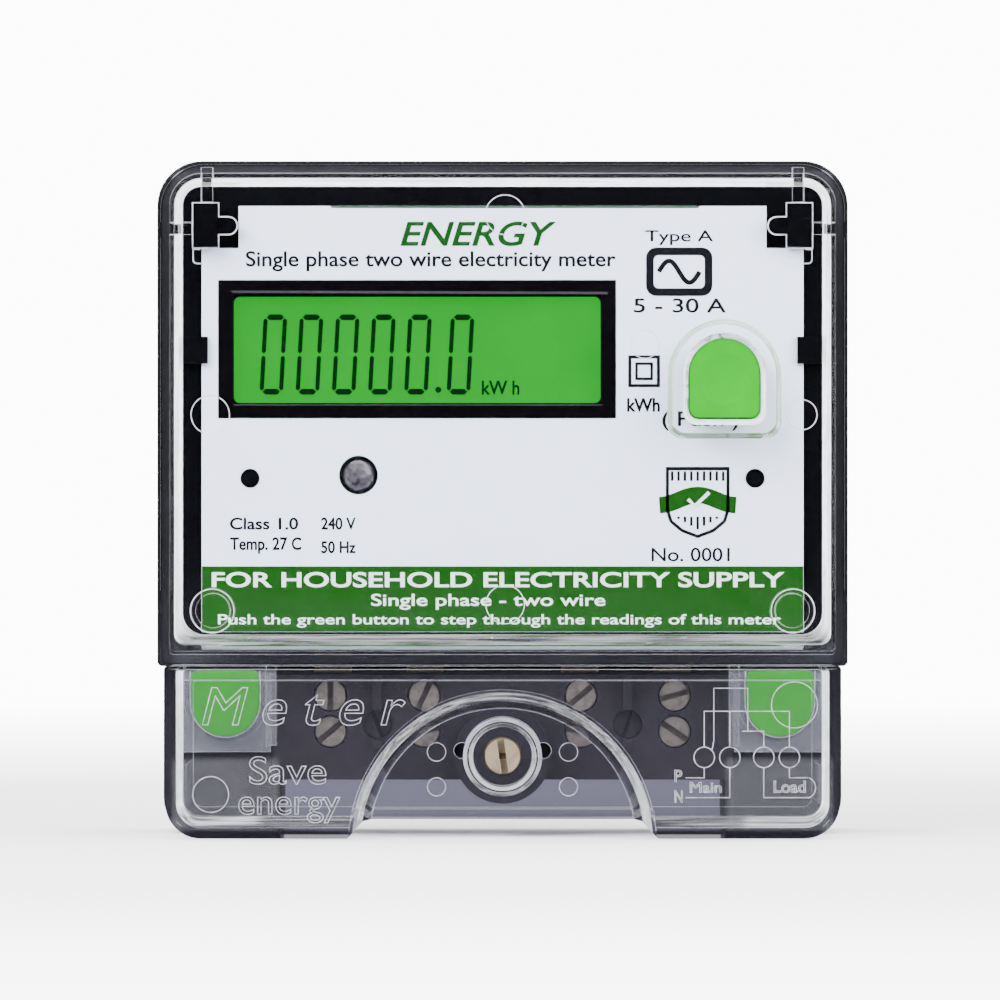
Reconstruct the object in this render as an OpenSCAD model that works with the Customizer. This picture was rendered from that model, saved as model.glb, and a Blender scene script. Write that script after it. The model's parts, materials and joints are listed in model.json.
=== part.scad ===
// Single-phase electricity meter for a 35 mm top-hat rail.
// X runs to the viewer's right, Y towards the wall, Z up. The origin lies on the rail's centre line, in the wall plane.

/* [Case] */
// Width of the case
meter_w = 108; // [104:0.5:114]
// Height of the case
meter_h = 106; // [104:0.5:112]
// Depth of the black base from the wall plane to its rim
base_d = 28; // [27:0.5:30]
// Depth from the wall plane to the flat front of the upper cover
front_d = 48.2; // [47.5:0.1:50]
// Wall thickness of the black base
base_wall = 2; // [1.6:0.1:2.4]
// Wall thickness of the clear covers
cover_wall = 1.8; // [1.4:0.1:2.0]
// Radius of the two upper corners
top_r = 7; // [5:0.5:9]
// Radius of the two lower corners
foot_r = 5.5; // [4:0.5:7]

/* [Rail] */
// Thickness of a rail lip
rail_lip = 1; // [1:0.1:1.3]

/* [Terminals] */
// Radius of the wire bore in a brass terminal
wire_r = 3.25; // [2.5:0.05:3.4]
// Distance between the two terminals of a pair
terminal_pitch = 14.8; // [14.5:0.1:15.2]
// Distance from the middle of the case to the middle of a pair
pair_x = 19.8; // [19.5:0.1:20.2]
// Travel of a clamp screw into its wire bore
clamp_travel = 3; // [1:0.5:4]

/* [Push button] */
// Width of the push button
button_w = 10.8; // [9:0.1:11]
// Height of the push button
button_h = 12.1; // [11:0.1:12.5]
// Travel of the push button
button_travel = 1.5; // [0.5:0.1:1.5]

/* [Hidden] */
$fn = 48;

half_w = meter_w / 2;
half_h = meter_h / 2;
slack = 0.1;                    // clearance of loose neighbours
cut = 0.5;                      // overrun of a cut past the face it opens

// levels along Z
rail_h = 35;                    // over the lips of a standard rail
seam_z = -26.1;                 // seam between upper cover and terminal cover
rail_block_z = 20;              // half height of the thick back wall around the rail channel
channel_half = rail_h / 2 + 0.2;

// levels along Y, front is negative
back_wall = 2.5;
rail_block_d = 8.5;
channel_d = 6;
term_wall_d = 22;
gasket_t = 0.6;
cover_back = base_d + gasket_t;
ledge_d = front_d - 3.2;        // step around the raised front of the upper cover
ledge_w = 1.9;                  // width of that step
bevel_w = 2.2;                  // width of the slope from the step to the flat front
board_y = 26;
board_t = 1.6;
board_front = board_y + board_t;
frame_y = 38;
frame_t = 1.6;
plate_y = frame_y + frame_t + slack;
plate_t = 1.2;
plate_front = plate_y + plate_t;

// terminal compartment
block_back = rail_block_d + slack;
block_front = 31;
block_top = -27.6;
block_foot = -44.2;             // the base is open below this, where the wires come in
wire_gate = 35.2;               // half width of that opening
boss_r = 7.6;                   // post behind the seal recess
brass_front = 25;
brass_back = 11.5;
bore_y = 16.5;
clamp_z = [-30.9, -36.6];
terminal_x = [-pair_x - terminal_pitch / 2, -pair_x + terminal_pitch / 2,
              pair_x - terminal_pitch / 2, pair_x + terminal_pitch / 2];
seal_z = -40.3;                 // height of the sealing screw
arch_foot = -50.4;              // lower edge of the arch's floor
floor_y = 34;                   // back of the arch's floor in the terminal cover
floor_t = 2;
arch_r = 22.3;                  // at the front; the wall narrows by arch_draft down to the floor
arch_draft = 1.3;
arch_z = -53.8;
arch_half = 21.9;               // half width of the arch where its floor ends
arch_flare = 24.8;              // half width of the gap at the cover's lower edge
tcover_front = 46.5;
tcover_half_w = half_w - 1.2;

// cover ears with their plugs and screws
ear_x = 43.6;
ear_z = -32.05;
ear_y = 31;
plug_w = 10.6;
plug_h = 10.3;

// latch spring, between a rib of the base and the latch
spring_top = -23;
spring_foot = -34;
latch_foot = -44;
latch_front = 4.7;

// places of the parts in the dial
button_x = 34.6;
button_z = 18.9;
led_x = -22.6;
led_z = 3.9;
peg_x = 39.6;
peg_z = 3.4;
window = [-42.2, 15.4, 15.2, 31.9];     // visible display area: x from, x to, z from, z to
bezel = [-44.5, 17.7, 12.9, 34.4];
plate_half_w = 47.2;
plate_foot = -20.7;
plate_top = 46.1;
notch_x = 41.4;
notch_z = 39.5;
board_post = [[-39, 41], [39, 41], [-39, -12], [39, -12]];
frame_post = [[-47.4, 33], [47.4, 33], [-47.4, -14], [47.4, -14]];
lcd_front = plate_y - 0.75;     // front of the display glass
pillar = [[-45.3, -17.3], [45.3, -17.3]];

// ---------- outlines ----------
function arc(cx, cz, r, a0, a1, n) =
    [for (i = [0 : n]) [cx + r * cos(a0 + (a1 - a0) * i / n), cz + r * sin(a0 + (a1 - a0) * i / n)]];

// Rounded rectangle, with one radius for the upper corners and one for the lower ones.
function round_rect(x0, x1, z0, z1, rt, rb, n = 10) = concat(
    arc(x1 - rt, z1 - rt, rt, 0, 90, n), arc(x0 + rt, z1 - rt, rt, 90, 180, n),
    arc(x0 + rb, z0 + rb, rb, 180, 270, n), arc(x1 - rb, z0 + rb, rb, 270, 360, n));

// D shape standing on its flat side, centred on the origin.
function d_shape(w, h, r, n = 20) = concat(
    arc(0, (h - w) / 2, w / 2, 0, 180, n),
    arc(r - w / 2, r - h / 2, r, 180, 270, 6), arc(w / 2 - r, r - h / 2, r, 270, 360, 6));

// Case outlines, inset by i.
function whole_outline(i) =
    round_rect(i - half_w, half_w - i, i - half_h, half_h - i, top_r - i, foot_r - i);
function upper_outline(i, rb = 0.8, foot = -1) =
    round_rect(i - half_w, half_w - i, seam_z + 0.1 + (foot < 0 ? i : foot), half_h - i, max(top_r - i, 2.9), rb);
function lower_outline(i, w = half_w, top = -1, foot = -1) =
    round_rect(i - w, w - i, (foot < 0 ? i : foot) - half_h, seam_z - 0.35 - (top < 0 ? i : top),
               0.6, max(foot_r - i, 1.5));

// ---------- solids ----------
// A plate from depth d0 to depth d1, both measured forwards from the wall plane.
module slab(d0, d1, outline)
    translate([0, -d0, 0]) rotate([90, 0, 0]) linear_extrude(d1 - d0) polygon(outline);

// A box between two corners; depths are measured forwards from the wall plane.
module bar(x0, x1, d0, d1, z0, z1) translate([x0, -d1, z0]) cube([x1 - x0, d1 - d0, z1 - z0]);

// A round rod that runs forwards.
module y_rod(x, z, r, d0, d1) translate([x, -d0, z]) rotate([90, 0, 0]) cylinder(h = d1 - d0, r = r);

// A cone that runs forwards, from radius r0 to radius r1.
module y_cone(x, z, r0, r1, d0, d1) translate([x, -d0, z]) rotate([90, 0, 0]) cylinder(h = d1 - d0, r1 = r0, r2 = r1);

module z_rod(x, d, r, z0, z1) translate([x, -d, z0]) cylinder(h = z1 - z0, r = r);

module x_rod(x0, x1, d, z, r) translate([x0, -d, z]) rotate([0, 90, 0]) cylinder(h = x1 - x0, r = r);

module at_xz(x, z) translate([x, 0, z]) children();

// A screw that points backwards, with its head's seat at depth seat and a slot across the head.
module slotted_screw(x, z, shank_r, shank, head_r, head, seat, slot_w, slot_angle) {
    difference() {
        union() {
            y_rod(x, z, shank_r, seat - shank, seat);
            y_rod(x, z, head_r, seat, seat + head);
        }
        translate([x, -seat - head, z]) rotate([0, slot_angle, 0])
            cube([slot_w, head, head_r * 2 + 1], center = true);
    }
}

// Tube of 8 sides swept along a list of points.
function unit(v) = v / norm(v);
function tangent(p, i) = unit(p[min(i + 1, len(p) - 1)] - p[max(i - 1, 0)]);
function side_of(t) = unit(cross(t, abs(t[0]) < 0.8 ? [1, 0, 0] : [0, 1, 0]));
module sweep(points, r, sides = 8) {
    n = len(points);
    rings = [for (i = [0 : n - 1]) let (t = tangent(points, i), u = side_of(t), v = cross(t, u))
        for (k = [0 : sides - 1]) points[i] + r * (cos(360 * k / sides) * u + sin(360 * k / sides) * v)];
    walls = [for (i = [0 : n - 2], k = [0 : sides - 1])
        let (a = i * sides + k, b = i * sides + (k + 1) % sides)
        each [[a, b, b + sides], [a, b + sides, a + sides]]];
    ends = [[for (k = [sides - 1 : -1 : 0]) k], [for (k = [0 : sides - 1]) (n - 1) * sides + k]];
    polyhedron(points = rings, faces = concat(walls, ends), convexity = 10);
}

// Coil spring along Z, closed by flat turns at both ends.
function spring_rise(s, turns) = s < 1 ? 0 : s > turns - 1 ? 1 : (s - 1) / (turns - 2);
function coil(r, wire, length, turns, per_turn = 14) =
    [for (i = [0 : turns * per_turn]) let (s = i / per_turn, end_lift = s < 1 ? s : s > turns - 1 ? s - turns + 2 : 1)
        [r * cos(360 * s), r * sin(360 * s),
         wire + (length - 4.4 * wire) * spring_rise(s, turns)
              + 1.2 * wire * (s < 1 ? s : s > turns - 1 ? 1 + (s - turns + 1) : 1)]];
module coil_spring(r, wire, length, turns) sweep(coil(r, wire, length, turns), wire);

// ---------- case ----------
module rail_hooks() {
    for (x = [-34, 22])
        bar(x, x + 12, channel_d - rail_lip - 2.8, channel_d - rail_lip - 0.3, channel_half - 2.4, channel_half + 0.1);
}

module latch_guides() {
    for (s = [-1, 1])
        bar(s > 0 ? 9.3 : -11.6, s > 0 ? 11.6 : -9.3, 0, 1.4, -42.5, -22);
}

module base_housing() color([0.07, 0.07, 0.08]) {
    difference() {
        union() {
            slab(0, back_wall, whole_outline(0));
            difference() {
                slab(0, base_d, upper_outline(0));
                slab(back_wall, base_d + cut, upper_outline(base_wall, 1));
            }
            difference() {
                slab(0, term_wall_d, lower_outline(0));
                slab(back_wall, term_wall_d + cut, lower_outline(base_wall));
                bar(-half_w + base_wall, half_w - base_wall, back_wall, term_wall_d + cut, seam_z - 4, seam_z);
            }
            bar(-half_w + 0.5, half_w - 0.5, 1, rail_block_d, -rail_block_z, rail_block_z);
            bar(-14, 14, 1, rail_block_d, block_foot, -rail_block_z + 1);
            for (s = [-1, 1])
                bar(s > 0 ? wire_gate : -wire_gate - 1.6, s > 0 ? wire_gate + 1.6 : -wire_gate,
                    0.5, term_wall_d, -half_h + 0.5, block_foot);
            bar(-36.5, 36.5, 1, rail_block_d, block_foot, seam_z + 1);
            for (p = board_post) y_rod(p[0], p[1], 3.2, 1, board_y);
            for (p = frame_post) y_rod(p[0], p[1], 2.8, 1, base_d - 1);
            for (s = [-1, 1]) {
                y_rod(s * ear_x, ear_z, 4.2, 1, ear_y - slack);
                side_bump(s, -23.4, -14.4, 0.5);
                side_bump(s, 41.6, 44, 0.3);
            }
            for (z = [-18.8, -9.4]) bar(pair_x - 3, pair_x + 3, rail_block_d - 1, 10.1, z, z + 1);
        }
        bar(-half_w - cut, half_w + cut, -cut, channel_d, -channel_half, channel_half);
        bar(-11.4, 11.4, -cut, 5.2, -half_h - cut, -channel_half + 1);
        for (p = board_post) y_rod(p[0], p[1], 1.3, 18, board_y + cut);
        for (s = [-1, 1]) y_rod(s * ear_x, ear_z, 1.55, 18, ear_y + cut);
        bar(-wire_gate, wire_gate, -cut, term_wall_d + cut, -half_h - cut, block_foot);
        for (x = terminal_x)
            bar(x - 3.3, x + 3.3, brass_back - 0.3, brass_back + 2.3, seam_z - cut, seam_z + base_wall + 1);
        for (s = [-1, 1]) y_rod(s * pair_x, -35.5, 1.3, 3.5, rail_block_d + cut);
    }
    rail_hooks();
    latch_guides();
    bar(-2.6, 2.6, 1.9, 5.5, spring_foot - 1.7, spring_foot);
}

// Snap on the outside of a side wall.
module side_bump(s, z0, z1, proud)
    bar(s > 0 ? half_w - 0.4 : -half_w - proud, s > 0 ? half_w + proud : -half_w + 0.4, 19, base_d - 1, z0, z1);

module cover_shell() {
    difference() {
        union() {
            slab(cover_back, ledge_d, upper_outline(0));
            hull() {
                slab(ledge_d - 0.1, ledge_d, upper_outline(ledge_w, 0.8, 2.4));
                slab(front_d - 0.1, front_d, upper_outline(ledge_w + bevel_w, 3.4, 5));
            }
        }
        slab(cover_back - cut, ledge_d - cover_wall, upper_outline(cover_wall, 0.8));
        slab(ledge_d - cover_wall - cut, front_d - 2.2, upper_outline(ledge_w + bevel_w - 0.1, 3.4, 4.9));
    }
}

// Ear below the seam, with a D-shaped cup for the plug and a screw hole in its floor.
module cover_ear(s) {
    difference() {
        union() {
            bar(s > 0 ? 36.6 : -50.4, s > 0 ? 50.4 : -36.6, ear_y, ear_y + 2, -39.8, seam_z + 1);
            at_xz(s * ear_x, ear_z) mirror([0, 0, 1]) slab(ear_y, ear_y + 5, d_shape(plug_w + 2.4, plug_h + 2.2, 1));
            bar(s > 0 ? 35.6 : -37.2, s > 0 ? 37.2 : -35.6, ear_y, ear_y + 7, -38.6, seam_z + 1);
        }
        at_xz(s * ear_x, ear_z) mirror([0, 0, 1])
            slab(ear_y + 2, ear_y + 5 + cut, d_shape(plug_w + 0.2, plug_h + 0.2, 1));
        y_rod(s * ear_x, ear_z, 1.8, ear_y - cut, ear_y + 2 + cut);
    }
}

// Clear ribs that lock each upper corner over its hook.
module corner_ribs(s) {
    bar(s > 0 ? 45.3 : -47.1, s > 0 ? 47.1 : -45.3, plate_front + 0.6, front_d - 2.1, 46.4, half_h - 1);
    bar(s > 0 ? 48.4 : -half_w + 1, s > 0 ? half_w - 1 : -48.4, plate_front + 0.6, front_d - 2.1, 41.5, 43.4);
}

marks = [[-45.6, 13.3, 3], [46.7, 13.3, 2.35], [0.4, 44.5, 3.1], [22.2, 24.3, 2.2], [0.4, -16.3, 3]];

module top_cover() color([0.86, 0.88, 0.9, 0.35]) {
    difference() {
        union() {
            cover_shell();
            hull() {
                at_xz(button_x, button_z) slab(front_d - 0.2, front_d - 0.1, d_shape(17.8, 18.7, 2.4));
                at_xz(button_x, button_z) slab(front_d + 2, front_d + 2.1, d_shape(16, 16.9, 2));
            }
            for (s = [-1, 1]) {
                corner_ribs(s);
                cover_ear(s);
            }
            for (p = pillar) y_rod(p[0], p[1], 3.5, plate_front + slack, front_d - 2);
        }
        at_xz(button_x, button_z)
            slab(front_d - 3, front_d + 3, d_shape(button_w + 0.5, button_h + 0.5, 1.6));
        hull() {
            at_xz(button_x, button_z) slab(front_d + 0.6, front_d + 0.7, d_shape(button_w + 0.4, button_h + 0.4, 1.6));
            at_xz(button_x, button_z) slab(front_d + 2.1, front_d + 2.2, d_shape(button_w + 2.2, button_h + 2.3, 2.2));
        }
        for (m = marks) y_rod(m[0], m[1], m[2], front_d - 0.2, front_d + cut);
        for (p = pillar) y_rod(p[0], p[1], 2.7, plate_front, front_d - 3);
    }
}

module cover_gasket() color([0.25, 0.26, 0.28])
    difference() {
        slab(base_d + 0.02, cover_back - 0.02, upper_outline(0.3));
        slab(base_d - cut, cover_back + cut, upper_outline(1.6));
    }

module cover_screws() color([0.75, 0.76, 0.78])
    for (s = [-1, 1]) slotted_screw(s * ear_x, ear_z, 1.5, 12, 2.9, 1.6, ear_y + 2, 0.7, 30 * s);

// Green one-way plug that snaps into an ear over its cover screw.
module seal_plug(s) color([0.33, 0.75, 0.25])
    at_xz(s * ear_x, ear_z) mirror([0, 0, 1]) {
        slab(ear_y + 4, ear_y + 6.4, d_shape(plug_w, plug_h, 1));
        difference() {
            slab(ear_y + 2.1, ear_y + 4.1, d_shape(plug_w, plug_h, 1));
            slab(ear_y + 2, ear_y + 4, d_shape(plug_w - 1.8, plug_h - 1.8, 0.8));
        }
    }

module terminal_cover_shell() {
    w = tcover_half_w;
    difference() {
        union() {
            slab(term_wall_d + 0.3, tcover_front - 2.5, lower_outline(0, w));
            hull() {
                slab(tcover_front - 2.6, tcover_front - 2.5, lower_outline(1.7, w, 0));
                slab(tcover_front - 0.1, tcover_front, lower_outline(2.9, w, 0, 3.6));
            }
        }
        slab(term_wall_d, tcover_front - 2.5 - cover_wall, lower_outline(cover_wall, w));
        slab(tcover_front - 5, tcover_front - 2, lower_outline(4.4, w, cover_wall, 5));
        bar(cover_wall - w, w - cover_wall, term_wall_d, ear_y + 7.6, seam_z - 2.6, seam_z);
        y_rod(0, arch_z, arch_r, floor_y, tcover_front + 1);
        y_cone(0, arch_z, arch_r, arch_r + 1.4, tcover_front - 1.4, tcover_front + 0.01);
        arch_gap(term_wall_d, tcover_front + cut);
    }
}

// The gap in the cover's lower edge, which widens downwards.
module arch_gap(d0, d1)
    slab(d0, d1, [[-arch_half, arch_foot + 0.1], [arch_half, arch_foot + 0.1],
                  [arch_flare, -half_h - cut], [-arch_flare, -half_h - cut]]);

module arch_gap_wall(s, d0, d1)
    slab(d0, d1, [[s * arch_half, arch_foot + 1.6], [s * (arch_half + cover_wall), arch_foot + 1.6],
                  [s * (arch_half + cover_wall), arch_foot], [s * (arch_flare + cover_wall), -half_h],
                  [s * arch_flare, -half_h], [s * arch_half, arch_foot + 0.1]]);

// Part of a round shape on the arch's axis that lies inside the cover's outline.
module arch_part(r, d0, d1)
    intersection() {
        y_rod(0, arch_z, r, d0, d1);
        slab(d0, d1, lower_outline(0, tcover_half_w));
    }

floor_marks = [[-10.4, -39.7, 1.45], [10.4, -39.7, 1.45], [-10.4, -45.2, 1.4], [10.4, -45.2, 1.4]];
face_marks = [[-45.6, -46, 2.8], [45.6, -32, 3.6]];

module terminal_cover() color([0.78, 0.78, 0.82, 0.4]) {
    difference() {
        union() {
            terminal_cover_shell();
            difference() {
                arch_part(arch_r + cover_wall, floor_y, tcover_front - 0.2);
                y_cone(0, arch_z, arch_r - arch_draft, arch_r, floor_y + floor_t, tcover_front - 1.39);
                y_cone(0, arch_z, arch_r, arch_r + 1.4, tcover_front - 1.4, tcover_front + 0.01);
                arch_gap(floor_y - cut, tcover_front + cut);
            }
            bar(-arch_half, arch_half, term_wall_d + 0.3, floor_y + 1, arch_foot + 0.1, arch_foot + 1.6);
            for (s = [-1, 1]) arch_gap_wall(s, term_wall_d + 0.3, tcover_front - 3);
            y_rod(0, seal_z, 6.2, floor_y + 1, floor_y + 7.4);
            y_cone(0, seal_z, 6.2, 5.6, floor_y + 7.4, floor_y + 8);
            for (s = [-1, 1])
                bar(s > 0 ? 49.6 : -51.3, s > 0 ? 51.3 : -49.6, term_wall_d - 3.5, 40, -47.5, -41.5);
        }
        y_rod(0, seal_z, 4.7, floor_y + floor_t, floor_y + 8 + cut);
        y_cone(0, seal_z, 4.7, 5.3, floor_y + 7.4, floor_y + 8.01);
        y_rod(0, seal_z, 2.3, floor_y - cut, floor_y + floor_t + cut);
        for (s = [-1, 1]) y_rod(s * 6.4, seal_z + 0.8, 1.25, floor_y - cut, floor_y + floor_t + cut);
        for (m = floor_marks) y_rod(m[0], m[1], m[2], floor_y + floor_t - 0.2, floor_y + floor_t + cut);
        for (m = face_marks) y_rod(m[0], m[1], m[2], tcover_front - 0.2, tcover_front + cut);
    }
}

module sealing_screw() color([0.85, 0.72, 0.42])
    difference() {
        slotted_screw(0, seal_z, 2, 11, 2.75, 2.8, floor_y + floor_t + 0.05, 1.1, -8);
        x_rod(-4, 4, floor_y + floor_t + 1.1, seal_z, 0.55);
    }

module sealing_insert() color([0.8, 0.66, 0.36])
    difference() {
        y_rod(0, seal_z, 3, 22, 33.4);
        y_rod(0, seal_z, 2.05, 22 - cut, 33.4 + cut);
    }

// ---------- push button ----------
module push_button() color([0.36, 0.8, 0.22])
    difference() {
        union() {
            at_xz(button_x, button_z) slab(front_d - 2.6, front_d + 1.3, d_shape(button_w, button_h, 1.4));
            at_xz(button_x, button_z) slab(front_d - 3.5, front_d - 2.25, d_shape(button_w + 1.8, button_h + 1.8, 1.6));
            y_rod(button_x, button_z, 1.7, board_front + 5.65 + button_travel, front_d - 3);
        }
        translate([button_x, -front_d - 1.3 - 24 + 0.35, button_z]) sphere(r = 24, $fn = 96);
    }

module button_spring() color([0.8, 0.8, 0.82])
    translate([button_x, -plate_y + slack, button_z]) rotate([90, 0, 0])
        coil_spring(2.6, 0.22, front_d - 3.5 - frame_y - frame_t, 5);

// ---------- dial ----------
module window_cut(w, d0, d1, grow = 0) bar(w[0] - grow, w[1] + grow, d0, d1, w[2] - grow, w[3] + grow);

module dial_frame() color([0.08, 0.08, 0.09]) {
    difference() {
        union() {
            slab(frame_y, frame_y + frame_t, round_rect(-51.8, 51.8, -22.2, 50.8, 4, 1));
            for (p = frame_post) y_rod(p[0], p[1], 2.4, base_d - 1 + 0.05, frame_y + 0.5);
            for (s = [-1, 1]) {
                y_rod(s * peg_x, peg_z, 1.3, frame_y, plate_front + 0.3);
                bar(s > 0 ? 47.5 : -50.4, s > 0 ? 50.4 : -47.5, frame_y, plate_front + 1, 21.4, 25.6);
                bar(s > 0 ? 46.2 : -50.4, s > 0 ? 50.4 : -46.2, plate_front + 0.1, plate_front + 1, 21.4, 25.6);
                bar(s > 0 ? 44.6 : -48.2, s > 0 ? 48.2 : -44.6, frame_y, plate_front + 2.6, 39.7, 46.2);
                bar(s > 0 ? 42.8 : -45, s > 0 ? 45 : -42.8, frame_y, plate_front + 2.2, 41.7, 44.1);
                y_rod(s * 42.8, 42.9, 1.2, frame_y, plate_front + 2.2);
            }
        }
        window_cut(bezel, frame_y - cut, frame_y + frame_t + cut, 0.1);
        y_rod(led_x, led_z, 3.05, frame_y - cut, frame_y + frame_t + cut);
        y_rod(button_x, button_z, 2.1, frame_y - cut, frame_y + frame_t + cut);
    }
}

// White dial plate, notched at its upper corners for the hooks.
module nameplate() color([0.9, 0.91, 0.94])
    difference() {
        union() {
            bar(-plate_half_w, plate_half_w, plate_y, plate_front, plate_foot, notch_z);
            bar(-notch_x, notch_x, plate_y, plate_front, notch_z - 1, plate_top);
        }
        window_cut(bezel, plate_y - cut, plate_front + cut, 0.1);
        y_rod(led_x, led_z, 3.05, plate_y - cut, plate_front + cut);
        y_rod(button_x, button_z, 3.4, plate_y - cut, plate_front + cut);
        for (s = [-1, 1]) y_rod(s * peg_x, peg_z, 1.5, plate_y - cut, plate_front + cut);
    }

module display_bezel() color([0.03, 0.03, 0.03])
    difference() {
        window_cut(bezel, lcd_front + 0.05, plate_front + 0.15);
        slab(lcd_front - cut, plate_front + cut, round_rect(window[0], window[1], window[2], window[3], 1, 1));
        hull() {
            bar(window[0], window[1], plate_front - 0.6, plate_front - 0.5, window[3] - 1.2, window[3] - 0.1);
            bar(window[0], window[1], plate_front + 0.15, plate_front + 0.25, window[3] - 1.2, window[3] + 0.6);
        }
    }

module lcd_glass() color([0.18, 0.78, 0.26])
    bar(-43.6, 16.8, lcd_front - 2.8, lcd_front, 13.6, 33.6);

module lcd_backlight() color([0.85, 0.95, 0.85]) {
    bar(-42.6, 15.8, lcd_front - 6.6, lcd_front - 2.85, 14.4, 32.8);
    for (x = [-40, 13], z = [16, 31]) y_rod(x, z, 0.8, board_front, lcd_front - 6.6);
}

module lcd_pins() color([0.8, 0.8, 0.82])
    for (i = [0 : 19], z = [13.05, 33.65])
        bar(-37.3 + i * 2.54, -36.8 + i * 2.54, board_front, lcd_front - 1, z, z + 0.5);

module pulse_led() color([0.85, 0.85, 0.88, 0.6]) {
    y_rod(led_x, led_z, 2.9, 33, 34);
    y_rod(led_x, led_z, 2.5, 34, 39.4);
    translate([led_x, -39.4, led_z]) sphere(r = 2.5);
    for (s = [-1, 1]) y_rod(led_x + s * 1.27, led_z, 0.25, board_front, 33);
}

module tact_switch() color([0.15, 0.15, 0.16]) {
    bar(button_x - 3, button_x + 3, board_front, board_front + 3.6, button_z - 3, button_z + 3);
    y_rod(button_x, button_z, 1.75, board_front + 3.6, board_front + 5.6);
}

// ---------- circuit board, components on its back ----------
module main_board() color([0.1, 0.38, 0.2])
    difference() {
        bar(-43, 43, board_y, board_front, -17, 46);
        for (p = board_post) y_rod(p[0], p[1], 1.6, board_y - cut, board_front + cut);
    }

module board_screws() color([0.75, 0.76, 0.78])
    for (p = board_post) slotted_screw(p[0], p[1], 1.25, 8, 2.5, 1.6, board_front, 0.6, p[0]);

// Flat chip with two or four rows of legs; w and h are its body, n its legs in a row.
module chip(x, z, w, h, t, n, pitch, four) {
    bar(x - w / 2, x + w / 2, board_y - 0.3 - t, board_y - 0.3, z - h / 2, z + h / 2);
    for (i = [0 : n - 1], s = [-1, 1]) let (o = (i - (n - 1) / 2) * pitch) {
        bar(x + o - 0.15, x + o + 0.15, board_y - 0.8, board_y, z + s * (h / 2 + 0.5) - 0.5, z + s * (h / 2 + 0.5) + 0.5);
        if (four)
            bar(x + s * (w / 2 + 0.5) - 0.5, x + s * (w / 2 + 0.5) + 0.5, board_y - 0.8, board_y, z + o - 0.15, z + o + 0.15);
    }
}

module microcontroller() color([0.1, 0.1, 0.11]) chip(2, 12, 12, 12, 1.5, 14, 0.8, true);
module metering_chip() color([0.1, 0.1, 0.11]) chip(-22, -2, 15.4, 7.5, 2.2, 12, 1.27, false);
module optocoupler() color([0.12, 0.12, 0.13]) chip(30, -4, 5, 6.4, 3.2, 2, 2.54, false);

module crystal() color([0.78, 0.79, 0.8]) {
    slab(board_y - 3.6, board_y, [for (p = round_rect(13.5, 24.5, -4.4, 0.2, 2.2, 2.2)) p]);
}

module electrolytic_capacitors() color([0.1, 0.12, 0.3]) {
    y_rod(2, 34, 6.3, 12.5, board_y);
    y_rod(17, 37, 4, 15, board_y);
}

module film_capacitor() color([0.85, 0.7, 0.15])
    slab(10.5, board_y, round_rect(-36, -10, 25, 35, 1, 1, 4));

module varistor() color([0.1, 0.3, 0.6]) {
    x_rod(25, 29, board_y - 6.5, 36, 5.2);
    for (s = [-1, 1]) y_rod(27, 36 + s * 3.5, 0.4, board_y - 4, board_y);
}

module backup_cell() color([0.2, 0.45, 0.3]) {
    x_rod(12, 36, 18.4, 20.2, 7.2);
    x_rod(36, 36.8, 18.4, 20.2, 2.2);
}

module resistor_bank() color([0.75, 0.65, 0.5])
    for (i = [0 : 4]) let (z = 5 + i * 3.6) {
        x_rod(-34, -27, board_y - 1.9, z, 1.25);
        x_rod(-36.5, -24.5, board_y - 1.9, z, 0.3);
        for (x = [-36.2, -24.8]) y_rod(x, z, 0.3, board_y - 2.1, board_y);
    }

module board_connector() color([0.92, 0.9, 0.84])
    difference() {
        bar(-8, 8, 18, board_y, -15.5, -9.5);
        bar(-7, 7, 17.5, 23, -14.6, -10.4);
    }

// ---------- terminals ----------
module terminal_block() color([0.09, 0.09, 0.1])
    difference() {
        union() {
            bar(-36.4, 36.4, block_back, block_front, block_foot, block_top);
            y_rod(0, seal_z, boss_r, 22, floor_y - slack);
            for (x = [-pair_x, pair_x]) bar(x - 0.7, x + 0.7, block_front - 1, block_front + 2, block_foot + 5, block_top);
        }
        for (x = terminal_x) {
            bar(x - 5.1, x + 5.1, block_back - cut, brass_front + slack, block_foot + 1, block_top - 0.8);
            bar(x - 3.3, x + 3.3, brass_back - 0.3, brass_back + 2.3, block_top - 1, block_top + cut);
            z_rod(x, bore_y, 3.8, block_foot - cut, block_foot + 1 + cut);
            for (z = clamp_z) y_rod(x, z, 2.65, brass_front, block_front + cut);
        }
        y_rod(0, seal_z, 3.02, 21.9, floor_y);
        y_rod(0, seal_z, 2.3, 16, 22);
        for (s = [-1, 1]) y_rod(s * 6.4, seal_z + 0.8, 1.25, floor_y - 4, floor_y);
        for (x = [-pair_x, pair_x]) {
            y_rod(x, -35.5, 1.6, block_back - cut, block_front);
            y_rod(x, -35.5, 2.35, block_front - 4, block_front + 3);
        }
    }

module block_screws() color([0.75, 0.76, 0.78])
    for (x = [-pair_x, pair_x]) slotted_screw(x, -35.5, 1.25, 21, 2.2, 1.7, block_front - 4, 0.6, x);

// Brass pillar: wire bore from below, two clamp screws from the front, and a tail up to the measuring parts.
module brass_terminal(i) color([0.83, 0.68, 0.36]) let (x = terminal_x[i])
    difference() {
        union() {
            bar(x - 5, x + 5, brass_back, brass_front, block_foot + 1.1, block_top - 0.9);
            bar(x - 3, x + 3, brass_back, brass_back + 1.6, block_top - 1, i < 2 ? -17.4 : -11.6);
        }
        z_rod(x, bore_y, wire_r, block_foot, block_top);
        for (z = clamp_z) y_rod(x, z, 2.05, bore_y, brass_front + cut);
    }

module clamp_screw(i, k) color([0.78, 0.78, 0.76])
    slotted_screw(terminal_x[i], clamp_z[k], 2, 8.1, 2.4, 2.2, brass_front + clamp_travel + 0.1, 0.9, 25 * i + 50 * k);

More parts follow.
